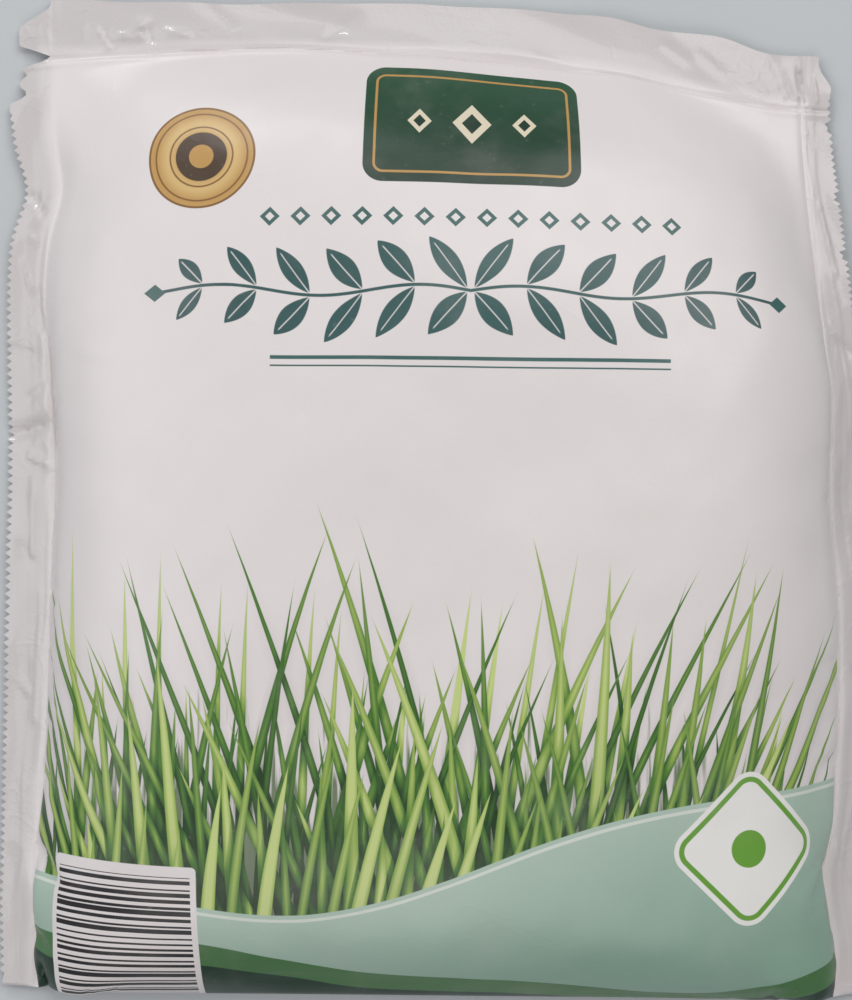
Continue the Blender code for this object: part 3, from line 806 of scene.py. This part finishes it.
class Graph:
    """Adds nodes to a node tree and joins them up."""

    def __init__(self, tree):
        self.tree = tree

    def node(self, kind, **settings):
        node = self.tree.nodes.new(kind)
        for name, value in settings.items():
            setattr(node, name, value)
        return node

    def feed(self, socket, value):
        """Join a value to a socket, or set a plain number or colour on it."""
        if isinstance(value, Value):
            self.tree.links.new(value.socket, socket)
        elif isinstance(value, tuple) and len(value) == 3 and socket.type == "RGBA":
            socket.default_value = (*value, 1.0)
        else:
            socket.default_value = value

    def feed_all(self, node, inputs):
        """Feed a node's inputs, by name or number."""
        for name, value in inputs.items():
            self.feed(node.inputs[name], value)

    def add(self, kind, inputs, output=0, **settings):
        """Add a node, feed its inputs, and return one of its outputs."""
        node = self.node(kind, **settings)
        self.feed_all(node, inputs)
        return Value(self, node.outputs[output])

    def maths(self, operation, *values):
        return self.add("ShaderNodeMath", dict(enumerate(values)), operation=operation)

    def clamp(self, value):
        return self.add("ShaderNodeClamp", {"Value": value})

    def map_range(self, value, low, high, curve):
        return self.add("ShaderNodeMapRange", {"Value": value, "From Min": low, "From Max": high},
                        interpolation_type=curve)

    def mix(self, share, first, second):
        """A colour between two others."""
        share_socket, first_socket, second_socket, result = 0, 6, 7, 2      # those for colours
        return self.add("ShaderNodeMix",
                        {share_socket: share, first_socket: first, second_socket: second},
                        result, data_type="RGBA")

    def vector(self, x, y, z=0.0):
        return self.add("ShaderNodeCombineXYZ", {"X": x, "Y": y, "Z": z})

    def split(self, vector):
        """The three numbers of a vector or colour."""
        node = self.node("ShaderNodeSeparateXYZ")
        self.feed(node.inputs[0], vector)
        return [Value(self, socket) for socket in node.outputs]

    def noise(self, vector, scale, detail=2.0, roughness=0.5, dimensions="2D"):
        return self.add("ShaderNodeTexNoise", {"Vector": vector, "Scale": scale, "Detail": detail,
                                               "Roughness": roughness},
                        "Fac", noise_dimensions=dimensions)

    def random(self, x, y):
        """Three random numbers that belong to a whole-number place."""
        return self.split(self.add("ShaderNodeTexWhiteNoise", {"Vector": self.vector(x, y)},
                                   "Color", noise_dimensions="2D"))

    def cells(self, vector, scale, feature, output="Distance", dimensions="2D"):
        return self.add("ShaderNodeTexVoronoi", {"Vector": vector, "Scale": scale}, output,
                        feature=feature, voronoi_dimensions=dimensions)

    def colour_ramp(self, value, *stops):
        """A colour from stops of a place and a colour."""
        node = self.node("ShaderNodeValToRGB")
        elements = node.color_ramp.elements
        for k, (place, colour) in enumerate(stops):
            element = elements[k] if k < 2 else elements.new(place)
            element.position = place
            element.color = (*colour, 1.0)
        self.feed(node.inputs["Fac"], value)
        return Value(self, node.outputs["Color"])

    def group(self, tree, **values):
        """Place a node group with its own values, and return its outputs by name."""
        node = self.node("ShaderNodeGroup", node_tree=tree)
        for name, value in values.items():
            self.feed(node.inputs[name.replace("_", " ")], value)
        return {socket.name: Value(self, socket) for socket in node.outputs}


def new_group(name, numbers, results, vectors=()):
    """An empty node group: its graph, its inputs as values, and a way to set its results."""
    tree = bpy.data.node_groups.new(name, "ShaderNodeTree")
    for labels, side, kind in ((vectors, "INPUT", "NodeSocketVector"),
                               (numbers, "INPUT", "NodeSocketFloat"),
                               (results, "OUTPUT", "NodeSocketFloat")):
        for label in labels:
            tree.interface.new_socket(name=label, in_out=side, socket_type=kind)
    graph = Graph(tree)
    entry = graph.node("NodeGroupInput")
    leave = graph.node("NodeGroupOutput")
    given = {label: Value(graph, entry.outputs[label]) for label in (*vectors, *numbers)}

    def finish(**values):
        for label, value in values.items():
            graph.feed(leave.inputs[label], value)
        return tree

    return graph, given, finish


def ink(red, green, blue):
    """A printing ink from its screen values, 0 to 255."""
    return tuple((v / 255 / 12.92) if v < 11 else ((v / 255 + 0.055) / 1.055) ** 2.4
                 for v in (red, green, blue))


FILM_WHITE = (0.835, 0.791, 0.784)
SEAL_WHITE = (0.665, 0.630, 0.625)   # two plies of film with nothing behind them
INK_TEAL = ink(62, 104, 100)
INK_TEAL_LIGHT = ink(96, 140, 132)
INK_FOREST = ink(22, 56, 40)
INK_LEAF_DARK = ink(34, 74, 32)
INK_LEAF_MID = ink(82, 130, 52)
INK_LEAF_LIGHT = ink(158, 186, 92)
INK_MINT = ink(142, 176, 158)
INK_MINT_LIGHT = ink(182, 205, 190)
INK_HILL = ink(74, 120, 72)
INK_GOLD = ink(196, 152, 84)
INK_GOLD_DARK = ink(138, 98, 48)
INK_CREAM = ink(232, 222, 196)
INK_BLACK = ink(38, 38, 42)


# --- node groups of the print -------------------------------------------------------------------
def box_group():
    """How far a point is outside a rounded box."""
    _, given, finish = new_group(
        "rounded box", ("Across", "Up", "Half Width", "Half Height", "Corner"), ("Distance",))
    over_x = abs(given["Across"]) - given["Half Width"] + given["Corner"]
    over_y = abs(given["Up"]) - given["Half Height"] + given["Corner"]
    out_x, out_y = over_x.most(0.0), over_y.most(0.0)
    outside = (out_x * out_x + out_y * out_y).power(0.5)
    inside = over_x.most(over_y).least(0.0)
    return finish(Distance=outside + inside - given["Corner"])


def blade_group():
    """One layer of grass: slim stalks that fan out from a root line and taper to their tips."""
    graph, given, finish = new_group(
        "grass stalks",
        ("Across", "Up", "Pitch", "Lean", "Fan", "Root", "Reach", "Width", "Seed"),
        ("Mask", "Shadow", "Tone"))
    rise = given["Up"] - given["Root"]
    bow = rise.times_plus(1 / 160, 1.0) * rise * given["Lean"]
    spread = rise.times_plus(given["Fan"], 1.0) * given["Pitch"]
    start = (given["Across"] - bow) / spread
    cell = start.floor()
    size, place, tone = graph.random(cell, given["Seed"])
    local = (place.times_plus(-0.44, start - cell) - 0.28) * spread
    height = rise / (size.times_plus(0.5, 0.5) * given["Reach"])
    square = height * height
    half = tone.times_plus(0.5, 0.7) * given["Width"] * (1.0 - square * height)
    inside = half - abs(local)
    rounded = inside.ramp(0.0, 0.8)
    shade = tone.times_plus(0.34, height * 0.36 + rounded * 0.30)
    # only whole stalks, rooted within about this much of the field's middle
    planted = (abs(cell * given["Pitch"]) + size * 9.0).below(61.0, 0.1)
    return finish(Mask=inside.ramp(0.0, 0.14) * planted, Tone=shade,
                  Shadow=inside.ramp(-1.6, 0.2) * height.ramp(0.9, 0.5) * planted)


def garland_group():
    """A garland: a waving stem with a pair of leaves in every stretch, even on both sides."""
    _, given, finish = new_group(
        "leaf garland", ("Across", "Up", "Half Length", "Pitch", "Leaf"), ("Mask", "Tone"))
    away = abs(given["Across"])
    up = given["Up"] - (away * 0.19).sine() * 0.9
    cell = (away / given["Pitch"]).floor()
    local = away - (cell + 0.5) * given["Pitch"]
    shrink = 1.0 - 0.45 * (away / given["Half Length"]).power(3.0)
    length = given["Leaf"] * shrink
    lifted = abs(up) - 0.35
    moved = local + length * 0.36
    lean_across, lean_up = 0.62, 0.785      # the leaf's direction
    along = moved * lean_across + lifted * lean_up
    off = lifted * lean_across - moved * lean_up
    part = (along / length).clamped()
    half = (part * math.pi).sine().power(0.85) * length * 0.19
    leaf = (abs(off) - half).below(0.0, 0.14) * (along - length).below(0.0, 0.1)
    vein = (abs(off) - 0.10).below(0.0, 0.12) * part.below(0.86, 0.05)
    leaf = leaf * (1.0 - 0.85 * vein) * (-along).below(0.0, 0.1)
    stem = (abs(up) - 0.28).below(0.0, 0.12)
    ends = away.below(given["Half Length"], 0.2)
    return finish(Mask=leaf.most(stem) * ends, Tone=(cell * 0.37).sine() * 0.5 + 0.5)


def crease_group():
    """Sharp little folds and dents of handled film, as a height in millimetres."""
    graph, given, finish = new_group(
        "film creases", ("Scale", "Strength"), ("Height",), vectors=("Place",))
    place = given["Place"]
    warp = graph.noise(place, given["Scale"] * 0.7, 2.0, 0.6)
    x, y, z = graph.split(place)
    bent = graph.vector(x + warp * 9.0, y - warp * 7.0, z)
    folds = graph.cells(bent, given["Scale"], "DISTANCE_TO_EDGE")
    fine = graph.cells(bent, given["Scale"] * 2.7, "DISTANCE_TO_EDGE")
    sharp = (1.0 - folds * 5.0).most(0.0).power(2.0) + 0.45 * (1.0 - fine * 5.0).most(0.0)
    patchy = graph.noise(place, given["Scale"] * 0.45, 1.0, 0.5).step(0.42, 0.66)
    return finish(Height=sharp * patchy * given["Strength"])


def wear_group():
    """Handling marks: a mask of faint rubbed patches and specks."""
    graph, given, finish = new_group(
        "handling wear", ("Scale", "Amount"), ("Mask",), vectors=("Place",))
    patches = graph.noise(given["Place"], given["Scale"], 4.0, 0.62, "3D").step(0.45, 0.75)
    specks = graph.noise(given["Place"], given["Scale"] * 14.0, 1.0, 0.7, "3D").step(0.66, 0.78)
    return finish(Mask=(patches + specks * 0.6) * given["Amount"])


# --- the print ----------------------------------------------------------------------------------
class FilmPrint:
    """Lays inks over the white film, one shape after another."""
    MIDDLE = 4.5                # of the plaque and the garland, across the bag
    GARLAND = 34.0              # height of the garland's stem
    LINE = 0.1                  # softness of a printed edge

    def __init__(self, graph, s, r, groups):
        self.graph = graph
        self.s = s
        self.r = r
        self.groups = groups
        self.colour = graph.mix(0.0, FILM_WHITE, FILM_WHITE)

    def lay(self, mask, colour):
        self.colour = self.graph.mix(mask, self.colour, colour)

    def fill(self, distance, colour, limit=0.0, soft=LINE):
        """Ink the inside of a shape, or all that is up to a limit away from it."""
        self.lay(distance.below(limit, soft), colour)

    def keyline(self, distance, inset, half_width, colour, soft=LINE):
        """Ink a line at an inset from a shape's outline, or outside it where that is negative."""
        self.fill(abs(distance + inset) - half_width, colour, soft=soft)

    def box(self, s, r, half_width, half_height, corner, turn=0.0):
        """Distance from a rounded box with its centre at (s, r)."""
        across, up = self.s - s, self.r - r
        if turn:
            cosine, sine = math.cos(turn), math.sin(turn)
            across, up = across * cosine + up * sine, up * cosine - across * sine
        return self.graph.group(self.groups["box"], Across=across, Up=up, Half_Width=half_width,
                                Half_Height=half_height, Corner=corner)["Distance"]

    def distance(self, s, r):
        across, up = self.s - s, self.r - r
        return (across * across + up * up).power(0.5)

    def plaque(self):
        """The dark plaque above the garland, with a gold keyline and three lozenges."""
        height, half_height = 65.0, 12.0
        shape = self.box(self.MIDDLE, height, 18.5, half_height, 3.5)
        rise = (self.r - (height - half_height)) / (2 * half_height)
        self.fill(shape, self.graph.mix(rise.clamped(), INK_FOREST, ink(40, 84, 58)))
        self.keyline(shape, 1.9, 0.22, INK_GOLD)
        for k, size in ((-1, 2.6), (0, 4.2), (1, 2.6)):
            lozenge = abs(self.s - self.MIDDLE - k * 9.0) * 1.25 + abs(self.r - height)
            self.fill(lozenge, INK_CREAM, size, 0.12)
            self.fill(lozenge, INK_FOREST, size * 0.52, 0.12)

    def garland(self):
        """The teal garland across the bag, with a row of lozenges above and thin rules below."""
        across, half_length, pitch = self.s - self.MIDDLE, 51.6, 5.2
        leaves = self.graph.group(self.groups["garland"], Across=across, Up=self.r - self.GARLAND,
                                  Half_Length=half_length, Pitch=8.6, Leaf=10.2)
        self.lay(leaves["Mask"], self.graph.mix(leaves["Tone"], INK_TEAL, ink(50, 88, 88)))
        beads = across / pitch
        local = (beads - beads.floor() - 0.5) * pitch
        lozenge = abs(local) + abs(self.r - self.GARLAND - 12.8)
        outline = lozenge.below(1.7, 0.12) * (1.0 - lozenge.below(0.8, 0.12))
        self.lay(outline * abs(across).below(7 * pitch, self.LINE), INK_TEAL)
        bud = abs(abs(across) - half_length - 1.2) * 0.8 + abs(self.r - self.GARLAND + 0.5)
        self.fill(bud, INK_TEAL, 1.5, 0.12)
        for drop, half_thick in ((11.4, 0.32), (12.8, 0.14)):
            rule = self.box(self.MIDDLE, self.GARLAND - drop, 33.0, half_thick, 0.1)
            self.fill(rule, INK_TEAL, soft=0.08)

    def grass(self):
        """The field of grass, from the dark tall stalks behind to the bright ones in front."""
        layers = [
            # pitch, lean, fan, reach, width, seed, shadow on the layers behind, lightness
            (4.4, 0.06, 0.0030, 88.0, 1.05, 1.0, 0.00, 0.42),
            (4.0, -0.20, 0.0045, 86.0, 1.00, 2.0, 0.45, 0.02),
            (4.3, 0.24, 0.0045, 84.0, 1.10, 3.0, 0.50, 0.06),
            (4.6, -0.07, 0.0055, 80.0, 1.15, 4.0, 0.50, 0.12),
            (4.2, 0.13, 0.0040, 74.0, 1.05, 5.0, 0.55, 0.05),
            (4.7, -0.28, 0.0050, 68.0, 1.15, 6.0, 0.55, 0.16),
            (4.4, 0.02, 0.0040, 60.0, 1.20, 7.0, 0.55, 0.22),
            (4.8, 0.20, 0.0050, 50.0, 1.20, 8.0, 0.60, 0.28),
        ]
        centre, root = -8.0, -86.0
        across = self.s - centre
        tone = cover = dark = None
        for pitch, lean, fan, reach, width, seed, depth, light in layers:
            stalk = self.graph.group(
                self.groups["stalks"], Across=across, Up=self.r, Pitch=pitch, Lean=lean, Fan=fan,
                Root=root, Reach=reach, Width=width, Seed=seed)
            mask, shadow, fresh = stalk["Mask"], stalk["Shadow"], stalk["Tone"] + light
            if cover is None:
                tone, cover, dark = fresh, mask, shadow
                continue
            shaded = shadow.times_plus(-depth, 1.0) * tone
            tone = (fresh - shaded) * mask + shaded
            dark = shadow.most(dark)
            cover = mask.most(cover)
        tufts = self.graph.noise(self.graph.vector(self.s * 0.9, self.r * 0.06), 0.8, 2.0, 0.6)
        ground = (self.r - tufts * 48.0).below(root + 12.0, 7.0) * abs(across).below(53.0, 9.0)
        self.lay(ground * 0.85, self.graph.mix(tufts, ink(22, 52, 24), ink(86, 124, 58)))
        self.lay(dark * 0.20, ink(110, 112, 92))
        self.lay(cover, self.graph.colour_ramp(
            tone, (0.0, ink(16, 38, 16)), (1.0, ink(204, 220, 140)), (0.28, INK_LEAF_DARK),
            (0.55, INK_LEAF_MID), (0.8, INK_LEAF_LIGHT)))

    def hills(self):
        """Two long hills along the fold, mint behind and green in front."""
        s, r = self.s, self.r
        crest = -70.0 + 22.0 * ((s + 30.0) / 100.0).step(0.0, 1.0) + 2.0 * (s / 14.0).sine()
        above = r - crest
        self.fill(above, self.graph.mix((above / -26.0).clamped(), INK_MINT_LIGHT, INK_MINT),
                  soft=0.12)
        self.keyline(above, 1.1, 0.3, ink(222, 230, 220), soft=0.12)
        low = -82.0 - 5.0 * (s / 31.0 + 0.6).sine() + 1.2 * (s / 9.0).sine()
        self.fill(r - low, INK_HILL, soft=0.12)
        self.fill(r - low, INK_FOREST, -4.6, 0.12)

    def gold_disc(self):
        """A plain gold disc with rings round it."""
        away = self.distance(-42.0, 58.0)
        sheen = self.graph.mix((away * 1.3).sine() * 0.35 + 0.4, INK_GOLD, ink(226, 196, 132))
        self.fill(away, INK_GOLD_DARK, 9.6)
        self.fill(away, sheen, 9.2)
        for radius in (8.2, 5.6):
            self.keyline(away, -radius, 0.16, INK_GOLD_DARK)
        self.fill(away, ink(74, 54, 34), 4.6)
        self.fill(away, INK_GOLD, 2.2)

    def tile(self):
        """A plain white tile with a green outline and dot, on the mint hill."""
        place, green = (52.0, -60.0), ink(110, 168, 62)
        shape = self.box(*place, 10.5, 10.5, 4.0, math.radians(45))
        self.fill(shape, ink(244, 244, 240))
        self.keyline(shape, 1.3, 0.45, green)
        self.fill(self.distance(*place), green, 3.2)

    def stripes(self):
        """A block of plain dark stripes on a white ground."""
        place, pitch, soft = (-53.0, -78.0), 1.15, 0.06
        self.fill(self.box(*place, 13.2, 14.5, 0.8), FILM_WHITE)
        inside = self.box(*place, 12.2, 12.6, 0.1).below(0.0, soft)
        row = (self.r / pitch).floor()
        weight = self.graph.random(row, 7.0)[0] * 0.55 + 0.25
        self.lay((self.r / pitch - row - weight).below(0.0, soft) * inside, INK_BLACK)

    def back_panel(self):
        """The back of the bag: a mint field with a keyline and three smaller garlands."""
        middle, spacing = -LENGTH + 2.0, 28.0
        field = self.box(0.0, middle, 56.0, 66.0, 5.0)
        self.fill(field, INK_MINT_LIGHT, soft=0.12)
        self.keyline(field, 3.0, 0.3, INK_TEAL_LIGHT)
        rise = (self.r - middle) / spacing
        row = (rise + 0.5).floor().least(1.0).most(-1.0)
        leaves = self.graph.group(self.groups["garland"], Across=self.s,
                                  Up=(rise - row) * spacing, Half_Length=42.0, Pitch=8.4,
                                  Leaf=9.0)
        self.lay(leaves["Mask"], INK_TEAL)


# --- materials ----------------------------------------------------------------------------------
def new_material(name):
    """A material, its graph and its Principled shader."""
    material = bpy.data.materials.new(name)
    material.use_nodes = True
    return material, Graph(material.node_tree), material.node_tree.nodes["Principled BSDF"]


def set_bump(graph, shader, height, strength):
    """Let the shader follow a height in millimetres."""
    bump = graph.add("ShaderNodeBump", {"Distance": MM, "Strength": strength, "Height": height},
                     "Normal")
    graph.feed(shader.inputs["Normal"], bump)


def printed_colour(graph, s, r, groups, motifs):
    """White film with the motifs printed on it, up to the side seals."""
    sheet = FilmPrint(graph, s, r, groups)
    for motif in motifs:
        getattr(sheet, motif)()
    printed = (abs(s) - SEAL_X + 0.6).below(0.0, 0.1)
    return graph.mix(printed, FILM_WHITE, sheet.colour)


def plain_colour(graph, s, r):
    """White film, a little darker in the seals and the top strip."""
    beside = abs(s) - SEAL_X
    above = abs(r + HALF_LENGTH) - (SEAL_Y + HALF_LENGTH)
    return graph.mix(beside.most(above).below(1.5, 3.0), SEAL_WHITE, FILM_WHITE)


def film_material(name, groups, *motifs):
    """White film with a soft gloss, creased and a little rubbed: printed, or plain and glossier."""
    material, graph, shader = new_material(name)
    flat = Value(graph, graph.node("ShaderNodeUVMap", uv_map="film").outputs["UV"])
    s, r, _ = graph.split(flat)
    wear = graph.group(groups["wear"], Place=flat, Scale=0.05, Amount=0.10)["Mask"]
    if motifs:
        colour = printed_colour(graph, s, r, groups, motifs)
        coat, coat_roughness, crease_height, fine_height = 0.10, 0.28, 0.014, 0.022
    else:
        colour = plain_colour(graph, s, r)
        coat, coat_roughness, crease_height, fine_height = 0.40, 0.08, 0.06, 0.05
    mottle = graph.noise(flat, 0.22, 3.0, 0.6).times_plus(0.16, 0.26)
    graph.feed_all(shader, {"Base Color": graph.mix(wear, colour, ink(214, 206, 202)),
                            "Roughness": wear.times_plus(0.5, mottle),
                            "Specular IOR Level": 0.5,
                            "Coat Weight": coat,
                            "Coat Roughness": coat_roughness})
    creases = graph.group(groups["creases"], Place=flat, Scale=0.16, Strength=crease_height)
    fine = graph.noise(flat, 1.3, 3.0, 0.65) * fine_height
    set_bump(graph, shader, creases["Height"] + fine, 0.9)
    return material


def herb_material(groups):
    """Frozen cut chives: mid to dark green with paler streaks and a light frost."""
    material, graph, shader = new_material("frozen chives")
    place = Value(graph, graph.node("ShaderNodeTexCoord").outputs["Object"])
    red, green, _ = graph.split(graph.cells(place, 240.0, "F1", "Color", "3D"))
    colour = graph.mix(red, INK_LEAF_DARK, INK_LEAF_MID)
    colour = graph.mix(green * 0.35, colour, INK_LEAF_LIGHT)
    streaks = graph.noise(place, 900.0, 3.0, 0.6, "3D")
    colour = graph.mix(streaks.step(0.5, 0.75) * 0.4, colour, INK_LEAF_LIGHT)
    frost = graph.group(groups["wear"], Place=place, Scale=160.0, Amount=0.55)["Mask"]
    graph.feed_all(shader, {"Base Color": graph.mix(frost, colour, ink(214, 226, 214)),
                            "Roughness": 0.42 + frost * 0.4})
    set_bump(graph, shader, streaks * 0.12 + frost * 0.1, 0.6)
    return material


# --- floor, lights and camera -------------------------------------------------------------------
def make_floor():
    """A plain pale floor."""
    mesh = bpy.data.meshes.new("floor")
    mesh.from_pydata([(-3, -3, 0), (3, -3, 0), (3, 3, 0), (-3, 3, 0)], [], [(0, 1, 2, 3)])
    floor = add_object("floor", mesh)
    floor.location.z = cad_bounds[0][2] - 0.0002
    material, graph, shader = new_material("pale floor")
    place = Value(graph, graph.node("ShaderNodeTexCoord").outputs["Object"])
    shade = graph.mix(graph.noise(place, 6.0), (0.56, 0.60, 0.62), (0.60, 0.64, 0.66))
    graph.feed_all(shader, {"Base Color": shade, "Roughness": 0.75})
    mesh.materials.append(material)


# name, place, width and length, power, colour
LIGHTS = (
    ("window", (0.40, 0.62, 0.95), (1.0, 0.8), 6.0, (1.0, 0.985, 0.97)),
    ("fill", (-0.8, 0.15, 0.8), (0.9, 0.9), 3.4, (0.97, 0.96, 1.0)),
    ("near", (-0.1, -0.8, 0.9), (0.9, 0.6), 2.4, (1.0, 0.95, 0.93)),
    ("glint", (-0.25, 0.7, 0.45), (0.25, 0.04), 0.9, (1.0, 1.0, 1.0)),
)
VIEW_DISTANCE = 0.38
VIEW_HALF_WIDTH = 0.078     # what the camera sees to each side at that distance
VIEW_ROLL = math.radians(0.6)


def aim(item, target):
    """Turn a light or camera to look at a point."""
    item.rotation_euler = (Vector(target) - item.location).to_track_quat("-Z", "Y").to_euler()


def make_lights():
    """Soft light from the upper right, fill from the left and the front, and a strip for glints."""
    for name, place, size, power, colour in LIGHTS:
        light = bpy.data.lights.new(name, "AREA")
        light.shape = "RECTANGLE"
        light.size, light.size_y = size
        light.energy = power
        light.color = colour
        item = add_object(name, light)
        item.location = place
        aim(item, (0, 0, 0.01))
    world = bpy.data.worlds.new("soft room")
    world.use_nodes = True
    background = world.node_tree.nodes["Background"]
    background.inputs["Color"].default_value = (0.86, 0.86, 0.88, 1)
    background.inputs["Strength"].default_value = 0.25
    bpy.context.scene.world = world


def make_camera():
    """Straight down on the front of the bag, rolled a little, close enough to fill the view."""
    camera = bpy.data.cameras.new("camera")
    camera.sensor_fit = "HORIZONTAL"
    camera.angle = 2 * math.atan(VIEW_HALF_WIDTH / VIEW_DISTANCE)
    camera.clip_start = 0.01
    item = add_object("camera", camera)
    target = Vector((-0.0030, -0.0005, HEIGHT * MM * 0.2))
    item.location = target + Vector((0.0, -0.004, VIEW_DISTANCE))
    aim(item, target)
    item.rotation_euler = (item.rotation_euler.to_matrix()
                           @ Matrix.Rotation(VIEW_ROLL, 3, "Z")).to_euler()
    bpy.context.scene.camera = item
    bpy.context.scene.view_settings.view_transform = "Standard"


def main():
    make_camera()
    make_floor()
    make_lights()
    groups = {"box": box_group(), "stalks": blade_group(), "garland": garland_group(),
              "creases": crease_group(), "wear": wear_group()}
    skin = make_film_skin([
        film_material("plain film", groups),
        film_material("printed film, upper front", groups, "plaque", "garland", "gold_disc"),
        film_material("printed film, lower front", groups, "grass", "hills", "tile", "stripes"),
        film_material("printed film, back", groups, "back_panel")])
    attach(skin, "root")
    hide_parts("film_bag")
    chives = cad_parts["chopped_chives"]
    herb = herb_material(groups)
    for slot in chives.material_slots:
        slot.material = herb


main()
